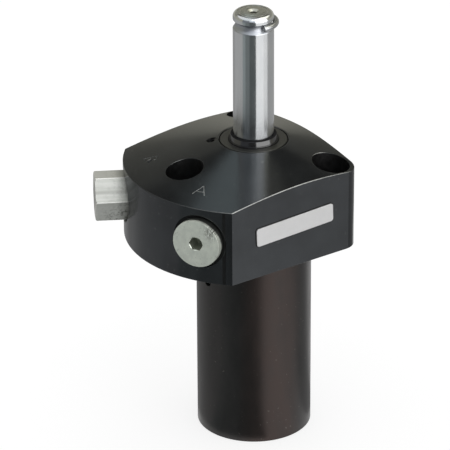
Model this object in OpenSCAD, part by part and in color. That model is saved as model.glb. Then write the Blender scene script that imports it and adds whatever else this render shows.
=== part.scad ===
// Swing clamp cylinder. The origin is on the axis, in the plane of the mounting face under the flange.
// +Z runs up along the plunger, the ported arc of the flange faces -Y and the plate side faces +X.
// Angles round the axis are counted from -Y towards +X.

/* [Flange] */
// Radius of the ported arc
flange_r = 32; // [31.5:0.1:34]
// Width across the two side flats
flange_w = 45.4; // [45:0.1:48]
// Distance from the axis to the rear flat
flange_rear = 15.85; // [15.4:0.05:17]
// Rounding of the two rear corners
flange_corner_r = 4.3; // [3:0.1:5]
// Height of the rim of the arc above the mounting face
flange_edge_h = 19.2; // [18:0.1:21]
// Slope of the conical top in degrees
cone_angle = 12.6; // [11.6:0.1:13.6]
// Radius of the flat land round the gland
top_flat_r = 9; // [8.9:0.1:9.6]
// Broken edge of the rim
rim_edge = 0.25; // [0.15:0.05:0.5]

/* [Barrel] */
// Outer diameter of the barrel
barrel_d = 28.4; // [28:0.1:30]
// Length of the barrel below the mounting face
barrel_len = 52.4; // [51:0.1:57]
// Broken edge at the foot of the barrel
barrel_edge = 0.2; // [0.2:0.1:0.8]

/* [Mounting holes] */
// Pitch circle of the mounting screws
bolt_pcd = 41; // [40.4:0.1:41.2]
// Diameter of the screw holes
bolt_hole_d = 5.5; // [5.2:0.1:6]
// Diameter of the counterbores for the screw heads
bolt_seat_d = 9.2; // [8.8:0.1:9.4]
// Height of the screw head seats above the mounting face
bolt_seat_z = 13; // [11:0.5:14]

/* [Ports] */
// Angle of each port from the middle of the arc
port_angle = 30; // [28:0.5:33]
// Height of the port axes above the mounting face
port_z = 10.7; // [10.2:0.1:11]
// Diameter of the spot face round a port
spot_d = 13.5; // [12.8:0.1:14]
// Depth of the spot face below the arc
spot_depth = 0.9; // [0.8:0.05:1.2]
// Diameter of the threaded port hole
port_d = 7.94; // [7.5:0.02:8.2]
// Depth of the threaded port hole below the spot face
port_depth = 10; // [9:0.5:12]
// Diameter of the drilled oil passages
oil_d = 2.5; // [2:0.1:2.8]
// Distance of the long oil passage from the axis
oil_r = 11.35; // [11.1:0.05:11.6]
// Length of the plug at the foot of the long passage
passage_plug_h = 4; // [3:0.5:6]

/* [Port plugs] */
// Head diameter of the socket plug
plug_head_d = 12; // [11:0.1:12.4]
// Head height of the socket plug
plug_head_h = 2.5; // [2:0.1:3]
// Width across flats of its socket
plug_socket_af = 3.2; // [3:0.1:4]
// Depth of its socket
plug_socket_depth = 3.6; // [3:0.1:5]
// Broken edge of the plug heads
plug_edge = 0.35; // [0.2:0.05:0.6]
// Length of the plug shanks below their heads
plug_reach = 7.5; // [6.5:0.1:8.5]
// Width across flats of the hexagon plug
hex_af = 10.9; // [10.6:0.1:11.6]
// Length of its hexagon
hex_len = 8; // [7:0.1:10]
// Turn of its hexagon about its own axis in degrees
hex_turn = 8; // [0:1:30]
// Thickness of the O-rings under the plug heads
plug_ring_d = 1.2; // [1:0.05:1.4]

/* [Name plate] */
// Length of the plate
plate_len = 22.7; // [18:0.1:24]
// Height of the plate
plate_h = 4.7; // [4:0.1:6]
// Thickness of the plate
plate_t = 0.35; // [0.2:0.05:0.5]
// Rounding of the plate's corners
plate_corner_r = 0.7; // [0.3:0.1:1.2]
// Shift of the plate's middle along the flat
plate_y = -4.2; // [-6:0.05:-2]
// Height of the plate's middle above the mounting face
plate_z = 11.05; // [8:0.05:12]
// Turn of the plate on its flat in degrees
plate_turn = 2; // [-3:0.5:3]

/* [Plunger] */
// Diameter of the plunger
rod_d = 10; // [9.9:0.02:10.2]
// Height of the plunger's top above the mounting face, between its two strokes
rod_top = 58; // [55:0.5:62]
// Distance of the clip groove's middle below the plunger's top
clip_groove_drop = 3.1; // [2.8:0.1:3.6]
// Radius of the round clip groove
clip_groove_r = 1.55; // [1.4:0.05:1.6]
// Depth of the clip groove
clip_groove_depth = 0.6; // [0.5:0.02:0.7]
// Rounding of the cap's top edge
cap_edge = 1; // [0.5:0.1:1.1]
// Diameter of the centre hole in the cap
centre_d = 2.2; // [1.6:0.1:3]
// Depth of the centre hole
centre_depth = 3; // [2:0.1:5]
// Broken edge at the mouth of the centre hole
centre_edge = 0.55; // [0.3:0.05:0.7]
// Diameter of the spigot that carries the piston
spigot_d = 8; // [7.8:0.02:8.2]
// Length of the spigot that shows below the lock ring
spigot_tail = 0.6; // [0.3:0.1:1]

/* [Arm clip] */
// Wire diameter of the clip
clip_wire_d = 1.5; // [1.4:0.05:1.6]
// Angle that the clip covers
clip_span = 200; // [200:5:260]
// Direction of the clip's middle
clip_angle = 180; // [150:5:240]
// Play of the clip in its groove
clip_play = 0.1; // [0.1:0.05:0.3]
// Height of the clip above the groove's middle
clip_rise = 0.3; // [0:0.05:0.3]

/* [Gland] */
// Diameter of the gland's thread
gland_d = 17; // [16.8:0.05:17.4]
// Length of the gland
gland_h = 13; // [12.8:0.1:13.6]
// Broken edges between gland and flange
gland_edge = 0.35; // [0.2:0.05:0.4]
// Radial width of the wiper
wiper_w = 1.15; // [0.9:0.05:1.4]
// Depth of the wiper's seat in the gland
wiper_seat = 2.2; // [1.8:0.1:2.4]
// Height of the wiper's lip above the gland
wiper_rise = 1.7; // [0.8:0.1:2]
// Height of the wiper's straight side above the gland
wiper_side = 0.4; // [0.2:0.05:0.6]
// Radial width of the wiper's lip
wiper_lip_w = 0.5; // [0.4:0.05:0.7]
// Wall between the wiper's seat and the rod seal
gland_web = 0.45; // [0.4:0.05:0.5]
// Radial width of the rod seal
rod_seal_w = 1.9; // [1.5:0.1:2]
// Height of the rod seal
rod_seal_h = 2.4; // [2:0.1:2.6]
// Half width of the notch between the seal's lips
seal_notch_w = 0.4; // [0.3:0.05:0.5]
// Depth of the notch between the seal's lips
seal_notch_depth = 1; // [0.6:0.1:1.2]
// Thickness of the gland's O-ring
gland_ring_d = 1.7; // [1.4:0.05:1.8]
// Diameter of the lock screw
lock_d = 2.5; // [2.2:0.1:2.6]
// Distance of the lock screw's mouth from the axis
lock_r = 10.4; // [10.2:0.05:10.5]
// Direction of the lock screw
lock_angle = -34.5; // [-40:0.5:-20]
// Slant of the lock screw from the vertical
lock_tilt = 30; // [26:1:34]
// Depth of the lock screw below its mouth
lock_drop = 0.7; // [0.4:0.05:0.8]
// Width across the corners of the lock screw's socket
lock_socket_d = 1.3; // [1:0.05:1.5]
// Width of the flat on the lock screw's point
lock_tip_d = 0.2; // [0.1:0.05:0.3]

/* [Swing cam] */
// Diameter of the cam balls
ball_d = 3; // [2.8:0.05:3.1]
// Depth of the cam grooves in the plunger
cam_depth = 0.6; // [0.5:0.05:0.8]
// Quarter turn of the plunger
swing_angle = 90; // [60:5:90]
// Rise of the plunger while it turns
swing_lift = 8.4; // [7.4:0.1:8.6]
// Straight clamping travel
clamp_stroke = 8.1; // [7:0.1:8.4]
// Height of the ball cage
cage_h = 5.5; // [5:0.1:5.8]
// Wall of the ball cage
cage_wall = 1.7; // [1.5:0.05:1.75]
// Step at the cage's top edge that lets the oil round
cage_relief = 0.75; // [0.5:0.05:0.9]
// Length of the guide sleeve
sleeve_len = 24; // [23.6:0.1:25]
// Height of the collar at the sleeve's foot
collar_h = 4.7; // [4.4:0.1:5]
// Clearance of the plunger in the collar
collar_gap = 0.3; // [0.2:0.05:0.4]
// Diameter of the sleeve's locating pin
pin_d = 2.5; // [2:0.1:2.8]
// Height of the pin above the sleeve's foot
pin_rise = 2.3; // [1.9:0.1:2.7]
// Direction of the pin
pin_angle = 1; // [-10:1:10]
// Depth of the pin's head below the barrel's surface
pin_recess = 0.8; // [0.3:0.1:1.2]
// Depth of the pin in the sleeve
pin_bite = 1.9; // [1.5:0.1:2.4]
// Wire diameter of the cage spring
spring_wire_d = 0.8; // [0.6:0.05:0.9]
// Working turns of the cage spring
spring_turns = 3.5; // [3:0.5:4]

/* [Piston] */
// Diameter of the piston
piston_d = 13.1; // [13:0.02:13.4]
// Height of the piston
piston_h = 7; // [6.6:0.1:7.4]
// Length of the plunger from its top to the piston's shoulder
rod_shoulder = 79.6; // [79.5:0.1:80.5]
// Height of the piston's lock ring
nut_h = 2; // [1.6:0.1:2.4]
// Diameter of the piston's lock ring
nut_d = 11.6; // [11:0.1:12]
// Width of the spanner slot across the lock ring
nut_slot_w = 2; // [1.5:0.1:2.5]
// Depth of the spanner slot
nut_slot_depth = 0.8; // [0.5:0.1:1]
// Height of the piston's guide ring
guide_ring_h = 1.6; // [1.4:0.1:1.8]
// Radial width of the piston's guide ring
guide_ring_w = 0.7; // [0.5:0.05:0.75]
// Distance of the guide ring from the piston's upper face
guide_ring_inset = 0.8; // [0.6:0.1:1]
// Height of the piston's seal
piston_seal_h = 2.2; // [1.8:0.1:2.3]
// Radial width of the piston's seal
piston_seal_w = 1.2; // [1:0.05:1.3]
// Distance of the piston's seal from its lower face
piston_seal_inset = 1.2; // [0.8:0.1:1.3]
// Thickness of the O-ring on the spigot
spigot_ring_d = 1.05; // [0.9:0.05:1.1]
// Room left under the plunger at the end of its clamping travel
bore_end_room = 2; // [1:0.1:3]

/* [Fits] */
// Running clearance between the sliding pieces
run_gap = 0.04; // [0.03:0.01:0.06]
// Clearance of pieces that are screwed or pressed together
seat_gap = 0.03; // [0.02:0.01:0.04]
// End clearance of the moving pieces
end_gap = 0.1; // [0.08:0.01:0.15]
// Clearance of the balls in their tracks
track_gap = 0.06; // [0.05:0.01:0.1]
// Clearance of the lock screw's point from the gland
tip_gap = 0.1; // [0.05:0.01:0.2]

/* [Hidden] */
$fn = 96;

// Small overlap that carries a cut past the face it opens
over = 1;
bolt_count = 3;
ball_count = 3;

barrel_r = barrel_d / 2;
flange_half_w = flange_w / 2;
rod_r = rod_d / 2;
gland_r = gland_d / 2;
top_z = flange_edge_h + (flange_r - top_flat_r) * tan(cone_angle);

// Gland and sleeve share one pocket, and the sleeve stands on the shoulder at its floor
gland_z = top_z - gland_h;
sleeve_top_z = gland_z - seat_gap;
sleeve_z = sleeve_top_z - sleeve_len;
pin_z = sleeve_z + pin_rise;
rod_bore_r = rod_r + run_gap;
wiper_r = rod_bore_r + wiper_w;
seal_r = rod_bore_r + rod_seal_w;
seal_top_z = top_z - wiper_seat - gland_web;

// The cage hangs under the gland, and its balls reach into the plunger and into the sleeve
ball_r = ball_d / 2;
ball_path_r = rod_r + ball_r - cam_depth;
cage_top_z = gland_z - end_gap;
cage_z = cage_top_z - cage_h;
ball_z = cage_z + cage_h / 2;
cage_in_r = rod_r + 2 * run_gap;
cage_out_r = cage_in_r + cage_wall;
sleeve_bore_r = cage_out_r + run_gap;
sleeve_r = gland_r - seat_gap;
collar_z = sleeve_z + collar_h;
collar_bore_r = rod_r + collar_gap;
first_ball_angle = 90;
spring_r = (rod_r + sleeve_bore_r) / 2;

// The piston sits on the spigot between the plunger's shoulder and the lock ring
bore_r = piston_d / 2 + 2 * run_gap;
spigot_r = spigot_d / 2;
shoulder_z = rod_top - rod_shoulder;
piston_top_z = shoulder_z - end_gap;
piston_z = piston_top_z - piston_h;
nut_top_z = piston_z - end_gap;
nut_z = nut_top_z - nut_h;
rod_foot_z = nut_z - spigot_tail;
bore_z = rod_foot_z - clamp_stroke - bore_end_room;
piston_ring_r = bore_r - run_gap;
guide_ring_z = piston_top_z - guide_ring_inset - guide_ring_h;
piston_seal_z = piston_z + piston_seal_inset;
spigot_ring_r = spigot_r + 2 * run_gap + spigot_ring_d / 2;
spigot_ring_z = guide_ring_z + guide_ring_h / 2;

spot_r = flange_r - spot_depth;
ring_seat_r = port_d / 2 + plug_ring_d + 2 * seat_gap;
ring_seat_depth = plug_ring_d + 2 * seat_gap;
plug_r = port_d / 2 - seat_gap;

// The wire clip touches the round groove from inside, and its open side lets it sit off the axis
clip_groove_z = rod_top - clip_groove_drop;
clip_groove_path_r = rod_r + clip_groove_r - clip_groove_depth;
clip_slack = clip_groove_r - clip_wire_d / 2 - seat_gap;
clip_near_r = clip_groove_path_r - sqrt(clip_slack * clip_slack - clip_rise * clip_rise);
clip_path_r = clip_near_r + clip_play;
clip_shift = clip_play;

// Puts its children at an angle round the axis, turned to face outwards along -Y
module at_angle(a) {
    rotate([0, 0, a]) children();
}

// A cylinder along the radius at an angle and a height, from one distance to another
module radial_rod(a, z, from_r, to_r, r) {
    at_angle(a)
        translate([0, -from_r, z])
            rotate([90, 0, 0])
                cylinder(r = r, h = to_r - from_r);
}

// A flat ring with a rectangular section
module ring(in_r, out_r, z, h) {
    translate([0, 0, z])
        difference() {
            cylinder(r = out_r, h = h);
            translate([0, 0, -over]) cylinder(r = in_r, h = h + 2 * over);
        }
}

// A ring of round section
module round_ring(path_r, wire_d, z) {
    translate([0, 0, z])
        rotate_extrude()
            translate([path_r, 0]) circle(d = wire_d, $fn = 32);
}

// The flange seen from above: an arc cut by three flats with two rounded corners
module flange_outline() {
    inner_w = flange_half_w - flange_corner_r;
    inner_y = flange_rear - flange_corner_r;
    intersection() {
        circle(r = flange_r, $fn = 180);
        union() {
            translate([-flange_half_w, -flange_r]) square([flange_w, flange_r + inner_y]);
            translate([-inner_w, -flange_r]) square([2 * inner_w, flange_r + flange_rear]);
            for (side = [-1, 1])
                translate([side * inner_w, inner_y]) circle(r = flange_corner_r);
        }
    }
}

// Half section of the flange, with broken edges at the rim
module flange_section() {
    edge_drop = rim_edge * tan(cone_angle);
    polygon([
        [0, 0],
        [flange_r - rim_edge, 0],
        [flange_r, rim_edge],
        [flange_r, flange_edge_h - rim_edge],
        [flange_r - rim_edge, flange_edge_h + edge_drop],
        [top_flat_r, top_z],
        [0, top_z]
    ]);
}

module flange_blank() {
    intersection() {
        rotate_extrude($fn = 180) flange_section();
        linear_extrude(height = top_z + over) flange_outline();
    }
}

module barrel_blank() {
    translate([0, 0, -barrel_len]) {
        cylinder(r1 = barrel_r - barrel_edge, r2 = barrel_r, h = barrel_edge);
        translate([0, 0, barrel_edge]) cylinder(r = barrel_r, h = barrel_len - barrel_edge + over);
    }
}

// Stepped bore from the top: gland thread, sleeve seat and cylinder bore
module main_bore() {
    translate([0, 0, sleeve_z]) cylinder(r = gland_r, h = top_z - sleeve_z + over);
    translate([0, 0, bore_z]) cylinder(r = bore_r, h = sleeve_z - bore_z + over);
    translate([0, 0, top_z - gland_edge])
        cylinder(r1 = gland_r, r2 = gland_r + gland_edge + over, h = gland_edge + over);
}

module bolt_hole() {
    translate([0, -bolt_pcd / 2, 0]) {
        translate([0, 0, -over]) cylinder(d = bolt_hole_d, h = top_z + 2 * over);
        translate([0, 0, bolt_seat_z]) cylinder(d = bolt_seat_d, h = top_z);
    }
}

// Spot face, seal seat and threaded hole of a port, with its drilling towards the axis
module port(a, drill_r) {
    radial_rod(a, port_z, spot_r, flange_r + over, spot_d / 2);
    radial_rod(a, port_z, spot_r - ring_seat_depth, spot_r + over, ring_seat_r);
    radial_rod(a, port_z, spot_r - port_depth, spot_r + over, port_d / 2);
    radial_rod(a, port_z, drill_r, spot_r - port_depth + over, oil_d / 2);
}

// Long drilling from the foot of the barrel up to the second port, with a drilling into the bore
module long_passage() {
    at_angle(-port_angle)
        translate([0, -oil_r, -barrel_len - over])
            cylinder(d = oil_d, h = barrel_len + over + port_z);
    radial_rod(-port_angle, bore_z + oil_d, 0, oil_r, oil_d / 2);
}

// Places its children on the slanted axis of the lock screw, with +Z pointing out of the mouth
module at_lock_screw() {
    at_angle(lock_angle)
        translate([0, -lock_r, top_z])
            rotate([lock_tilt, 0, 0])
                children();
}

module cylinder_body() {
    lock_run = (lock_r - gland_r + lock_d) / sin(lock_tilt);
    color("#2b2c2e")
        difference() {
            union() {
                flange_blank();
                barrel_blank();
            }
            main_bore();
            for (i = [0 : bolt_count - 1]) at_angle(i * 360 / bolt_count) bolt_hole();
            port(port_angle, gland_r - over);
            port(-port_angle, oil_r);
            long_passage();
            at_lock_screw() translate([0, 0, -lock_run]) cylinder(d = lock_d, h = lock_run + 2 * over);
            radial_rod(pin_angle, pin_z, gland_r - over, barrel_r + over, pin_d / 2);
        }
}

// Gland in half section: an open seat for the wiper, a groove for the rod seal and one for its O-ring
module gland_nut() {
    body_r = gland_r - seat_gap;
    ring_floor_r = body_r - gland_ring_d;
    ring_groove_z = gland_z + gland_ring_d;
    ring_groove_top = ring_groove_z + gland_ring_d + 2 * end_gap;
    seal_groove_z = seal_top_z - rod_seal_h - end_gap;
    color("#3c3e3c")
        rotate_extrude()
            polygon([
                [rod_bore_r, gland_z],
                [body_r, gland_z],
                [body_r, ring_groove_z],
                [ring_floor_r, ring_groove_z],
                [ring_floor_r, ring_groove_top],
                [body_r, ring_groove_top],
                [body_r, top_z - gland_edge],
                [body_r - gland_edge, top_z],
                [wiper_r, top_z],
                [wiper_r, top_z - wiper_seat],
                [rod_bore_r, top_z - wiper_seat],
                [rod_bore_r, seal_top_z],
                [seal_r, seal_top_z],
                [seal_r, seal_groove_z],
                [rod_bore_r, seal_groove_z]
            ]);
}

// Scraper ring with a lip that leans in to the plunger
module rod_wiper() {
    foot_z = top_z - wiper_seat;
    out_r = wiper_r - seat_gap;
    color("#17181a")
        rotate_extrude()
            polygon([
                [rod_bore_r, foot_z],
                [out_r, foot_z],
                [out_r, top_z + wiper_side],
                [rod_bore_r + wiper_lip_w, top_z + wiper_rise],
                [rod_bore_r, top_z + wiper_rise]
            ]);
}

// Lip seal with a notch between its two lips, open towards the oil
module rod_seal() {
    out_r = seal_r - seat_gap;
    mid_r = (rod_bore_r + out_r) / 2;
    seal_z = seal_top_z - rod_seal_h;
    color("#2e5d63")
        rotate_extrude()
            polygon([
                [rod_bore_r, seal_z],
                [mid_r - seal_notch_w, seal_z],
                [mid_r, seal_z + seal_notch_depth],
                [mid_r + seal_notch_w, seal_z],
                [out_r, seal_z],
                [out_r, seal_top_z - seat_gap],
                [rod_bore_r, seal_top_z - seat_gap]
            ]);
}

module gland_o_ring() {
    wire = gland_ring_d - 2 * seat_gap;
    color("#151515")
        round_ring(gland_r - seat_gap - gland_ring_d / 2, wire, gland_z + gland_ring_d * 1.5 + end_gap);
}

// Cone-point set screw with a hexagon socket
module gland_lock_screw() {
    r = lock_d / 2 - seat_gap;
    shoulder_run = (lock_r - gland_r - r * cos(lock_tilt)) / sin(lock_tilt) - seat_gap;
    tip_run = (lock_r - gland_r - tip_gap) / sin(lock_tilt);
    color("#232427")
        at_lock_screw()
            difference() {
                union() {
                    translate([0, 0, -shoulder_run]) cylinder(r = r, h = shoulder_run - lock_drop);
                    translate([0, 0, -tip_run])
                        cylinder(d1 = lock_tip_d, d2 = 2 * r, h = tip_run - shoulder_run);
                }
                translate([0, 0, -shoulder_run]) cylinder(d = lock_socket_d, h = shoulder_run, $fn = 6);
            }
}

// Fixed sleeve with three straight ball tracks, an oil notch and a collar that carries the spring
module guide_sleeve() {
    track_r = ball_r + track_gap;
    track_foot_z = ball_z - clamp_stroke - end_gap;
    color("#8d8f92")
        difference() {
            translate([0, 0, sleeve_z]) cylinder(r = sleeve_r, h = sleeve_len);
            translate([0, 0, sleeve_z - over]) cylinder(r = collar_bore_r, h = collar_h + 2 * over);
            translate([0, 0, collar_z]) cylinder(r = sleeve_bore_r, h = sleeve_len);
            for (i = [0 : ball_count - 1])
                at_angle(first_ball_angle + i * 360 / ball_count)
                    translate([0, -ball_path_r, track_foot_z]) {
                        cylinder(r = track_r, h = sleeve_len);
                        sphere(r = track_r);
                    }
            radial_rod(port_angle, port_z, sleeve_bore_r - over, sleeve_r + over, oil_d / 2);
            radial_rod(pin_angle, pin_z, sleeve_r - pin_bite, sleeve_r + over, pin_d / 2);
        }
}

// Pin through the barrel wall that keeps the sleeve from turning
module sleeve_pin() {
    color("#141416")
        radial_rod(pin_angle, pin_z, sleeve_r - pin_bite + seat_gap, barrel_r - pin_recess,
            pin_d / 2 - seat_gap);
}

// Coil of round wire: closed turns at both ends and open turns between them
spring_foot_z = collar_z + spring_wire_d / 2 + seat_gap;
spring_head_z = cage_z - spring_wire_d / 2 - seat_gap;
spring_end_rise = spring_wire_d * 1.1;
spring_all_turns = spring_turns + 2;
spring_sides = 8;
spring_steps = 20;
function spring_height(turn) =
    turn < 1 ? turn * spring_end_rise
    : turn > spring_turns + 1
        ? spring_head_z - spring_foot_z - (spring_all_turns - turn) * spring_end_rise
        : spring_end_rise + (turn - 1) / spring_turns
            * (spring_head_z - spring_foot_z - 2 * spring_end_rise);
function wire_ring(turn) = [
    for (k = [0 : spring_sides - 1])
        let (
            u = 360 * k / spring_sides,
            reach = spring_r + spring_wire_d / 2 * cos(u),
            rise = spring_wire_d / 2 * sin(u)
        )
        [reach * cos(360 * turn), reach * sin(360 * turn), spring_foot_z + spring_height(turn) + rise]
];

// Faces of a closed tube of equal rings, with a fan at either end
function tube_faces(rings, sides) = concat(
    [for (i = [0 : rings - 2], k = [0 : sides - 1]) [
        i * sides + k, (i + 1) * sides + k, (i + 1) * sides + (k + 1) % sides]],
    [for (i = [0 : rings - 2], k = [0 : sides - 1]) [
        i * sides + k, (i + 1) * sides + (k + 1) % sides, i * sides + (k + 1) % sides]],
    [for (k = [1 : sides - 2]) [0, k, k + 1]],
    [for (k = [1 : sides - 2]) [(rings - 1) * sides, (rings - 1) * sides + k + 1, (rings - 1) * sides + k]]
);

module cage_spring() {
    rings = spring_all_turns * spring_steps + 1;
    points = [for (i = [0 : rings - 1], p = wire_ring(i / spring_steps)) p];
    color("#9a9c9e") polyhedron(points = points, faces = tube_faces(rings, spring_sides));
}

// Places its children on a port's axis, with +Z pointing out and 0 on the spot face
module at_port(a) {
    at_angle(a) translate([0, -spot_r, port_z]) rotate([90, 0, 0]) children();
}

module plug_shank() {
    translate([0, 0, -plug_reach]) cylinder(r = plug_r, h = plug_reach + plug_edge);
}

module front_port_plug() {
    r = plug_head_d / 2;
    socket_r = plug_socket_af / 2 / cos(30);
    color("#b4b8b0")
        at_port(port_angle)
            difference() {
                union() {
                    plug_shank();
                    cylinder(r = r, h = plug_head_h - plug_edge);
                    translate([0, 0, plug_head_h - plug_edge])
                        cylinder(r1 = r, r2 = r - plug_edge, h = plug_edge);
                }
                translate([0, 0, plug_head_h - plug_socket_depth])
                    cylinder(r = socket_r, h = plug_socket_depth + over, $fn = 6);
            }
}

module side_port_plug() {
    corner_r = hex_af / 2 / cos(30);
    color("#b9bcb6")
        at_port(-port_angle)
            union() {
                plug_shank();
                intersection() {
                    rotate([0, 0, hex_turn]) cylinder(r = corner_r, h = hex_len, $fn = 6);
                    union() {
                        cylinder(r = corner_r + over, h = hex_len - 1.5 * plug_edge);
                        translate([0, 0, hex_len - 2 * plug_edge])
                            cylinder(r1 = corner_r + plug_edge, r2 = corner_r - plug_edge,
                                h = 2 * plug_edge);
                    }
                }
            }
}

module plug_seal(a) {
    at_port(a) round_ring(port_d / 2 + plug_ring_d / 2 + seat_gap, plug_ring_d, -ring_seat_depth / 2);
}

module front_plug_seal() {
    color("#161616") plug_seal(port_angle);
}

module side_plug_seal() {
    color("#161616") plug_seal(-port_angle);
}

module passage_plug() {
    color("#6c6e70")
        at_angle(-port_angle)
            translate([0, -oil_r, -barrel_len + seat_gap])
                cylinder(r = oil_d / 2 - seat_gap, h = passage_plug_h);
}

// Thin plate with rounded corners on the side flat
module name_plate() {
    inner_len = plate_len - 2 * plate_corner_r;
    inner_h = plate_h - 2 * plate_corner_r;
    color("#c9cac8")
        translate([flange_half_w, plate_y, plate_z])
            rotate([90, 0, 90])
                rotate([0, 0, plate_turn])
                    linear_extrude(height = plate_t)
                        union() {
                            square([plate_len, inner_h], center = true);
                            square([inner_len, plate_h], center = true);
                            for (sx = [-1, 1], sy = [-1, 1])
                                translate([sx * inner_len / 2, sy * inner_h / 2])
                                    circle(r = plate_corner_r, $fn = 32);
                        }
}

// Ring with three radial ball pockets and a relieved top edge that lets the oil round
module ball_cage() {
    color("#a88a4a")
        difference() {
            translate([0, 0, cage_z]) cylinder(r = cage_out_r, h = cage_h);
            translate([0, 0, cage_z - over]) cylinder(r = cage_in_r, h = cage_h + 2 * over);
            ring(cage_out_r - cage_relief, cage_out_r + over, cage_top_z - cage_relief, cage_relief + over);
            for (i = [0 : ball_count - 1])
                radial_rod(first_ball_angle + i * 360 / ball_count, ball_z, 0, cage_out_r + over,
                    ball_r + track_gap);
        }
}

module cam_balls() {
    color("#d8d9db")
        for (i = [0 : ball_count - 1])
            at_angle(first_ball_angle + i * 360 / ball_count)
                translate([0, -ball_path_r, ball_z])
                    sphere(r = ball_r);
}

// Cam groove: an arc section swept down a helix on the ball path, with a ball-shaped end at either side
groove_r = ball_r + track_gap;
groove_steps = 24;
groove_end_steps = 4;
groove_end_turn = 80;
groove_arc = 70;
groove_arc_steps = 8;
groove_sides = groove_arc_steps + 3;
groove_rings = groove_steps + 2 * groove_end_steps + 1;
groove_lead = atan2(swing_lift, ball_path_r * swing_angle * PI / 180);
function groove_section(k) =
    k <= groove_arc_steps
        ? let (u = -groove_arc + 2 * groove_arc * k / groove_arc_steps)
            [-groove_r * cos(u), groove_r * sin(u)]
        : [ball_r, (k == groove_arc_steps + 1 ? 1 : -1) * groove_r * sin(groove_arc)];
function groove_share(i) = min(max((i - groove_end_steps) / groove_steps, 0), 1);
function groove_bulge(i) =
    i < groove_end_steps ? -groove_end_turn * (groove_end_steps - i) / groove_end_steps
    : i > groove_end_steps + groove_steps
        ? groove_end_turn * (i - groove_end_steps - groove_steps) / groove_end_steps
        : 0;
function groove_point(i, q) =
    let (
        share = groove_share(i),
        bulge = groove_bulge(i),
        turn = -90 - swing_angle * share,
        reach = ball_path_r + q[0] * cos(bulge),
        across = q[1] * cos(bulge),
        along = groove_r * sin(bulge),
        swing = across * sin(groove_lead) - along * cos(groove_lead),
        rise = -across * cos(groove_lead) - along * sin(groove_lead)
    )
    [
        reach * cos(turn) - swing * sin(turn),
        reach * sin(turn) + swing * cos(turn),
        ball_z - swing_lift * share + rise
    ];

module cam_groove() {
    points = [for (i = [0 : groove_rings - 1], k = [0 : groove_sides - 1])
        groove_point(i, groove_section(k))];
    polyhedron(points = points, faces = tube_faces(groove_rings, groove_sides));
}

// Half section of the plunger's upper end, with its top edge rounded by an arc
module cap_section() {
    inner_r = rod_r - cap_edge;
    translate([0, shoulder_z]) square([rod_r, rod_top - cap_edge - shoulder_z]);
    translate([0, rod_top - 2 * cap_edge]) square([inner_r, 2 * cap_edge]);
    translate([inner_r, rod_top - cap_edge]) circle(r = cap_edge, $fn = 48);
}

// Rod with the round clip groove at its top, the cam grooves, and the spigot for the piston
module plunger() {
    color("#c3c5c8")
        difference() {
            union() {
                rotate_extrude() cap_section();
                translate([0, 0, rod_foot_z]) cylinder(r = spigot_r, h = shoulder_z - rod_foot_z + over);
            }
            round_ring(clip_groove_path_r, 2 * clip_groove_r, clip_groove_z);
            translate([0, 0, rod_top - centre_depth]) cylinder(d = centre_d, h = centre_depth + over);
            translate([0, 0, rod_top - centre_edge])
                cylinder(d1 = centre_d, d2 = centre_d + 2 * centre_edge, h = centre_edge + seat_gap);
            for (i = [0 : ball_count - 1])
                at_angle(first_ball_angle + i * 360 / ball_count) cam_groove();
        }
}

// Open wire ring that snaps into the clip groove, pushed to one side by its play
module arm_clip() {
    color("#8f9296")
        at_angle(clip_angle)
            translate([0, -clip_shift, clip_groove_z + clip_rise])
                rotate([0, 0, -90 - clip_span / 2])
                    rotate_extrude(angle = clip_span)
                        translate([clip_path_r, 0]) circle(d = clip_wire_d, $fn = 32);
}

// Piston with grooves for its guide ring and seal, and a groove for the ring on the spigot
module piston() {
    in_r = spigot_r + run_gap;
    color("#7d8084")
        difference() {
            ring(in_r, piston_d / 2, piston_z, piston_h);
            ring(piston_ring_r - guide_ring_w, bore_r + over, guide_ring_z - seat_gap,
                guide_ring_h + 2 * seat_gap);
            ring(piston_ring_r - piston_seal_w, bore_r + over, piston_seal_z - seat_gap,
                piston_seal_h + 2 * seat_gap);
            ring(spigot_r / 2, spigot_ring_r + spigot_ring_d / 2 + seat_gap,
                spigot_ring_z - spigot_ring_d / 2 - seat_gap, spigot_ring_d + 2 * seat_gap);
        }
}

module piston_guide_ring() {
    color("#b9b29a")
        ring(piston_ring_r - guide_ring_w + seat_gap, piston_ring_r, guide_ring_z, guide_ring_h);
}

module piston_seal() {
    color("#2e5d63")
        ring(piston_ring_r - piston_seal_w + seat_gap, piston_ring_r, piston_seal_z, piston_seal_h);
}

module spigot_seal() {
    color("#151515") round_ring(spigot_ring_r, spigot_ring_d, spigot_ring_z);
}

// Ring nut with two spanner slots across its lower face
module piston_lock_ring() {
    color("#56585b")
        difference() {
            ring(spigot_r + seat_gap, nut_d / 2, nut_z, nut_h);
            translate([-nut_d, -nut_slot_w / 2, nut_z - over])
                cube([2 * nut_d, nut_slot_w, nut_slot_depth + over]);
        }
}

cylinder_body();
gland_nut();
rod_wiper();
rod_seal();
gland_o_ring();
gland_lock_screw();
guide_sleeve();
sleeve_pin();
cage_spring();
front_port_plug();
front_plug_seal();
side_port_plug();
side_plug_seal();
passage_plug();
name_plate();
ball_cage();
cam_balls();
piston();
piston_guide_ring();
piston_seal();
spigot_seal();
plunger();
arm_clip();
piston_lock_ring();
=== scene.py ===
import math

import bmesh
import bpy
from mathutils import Matrix, Vector


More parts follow.
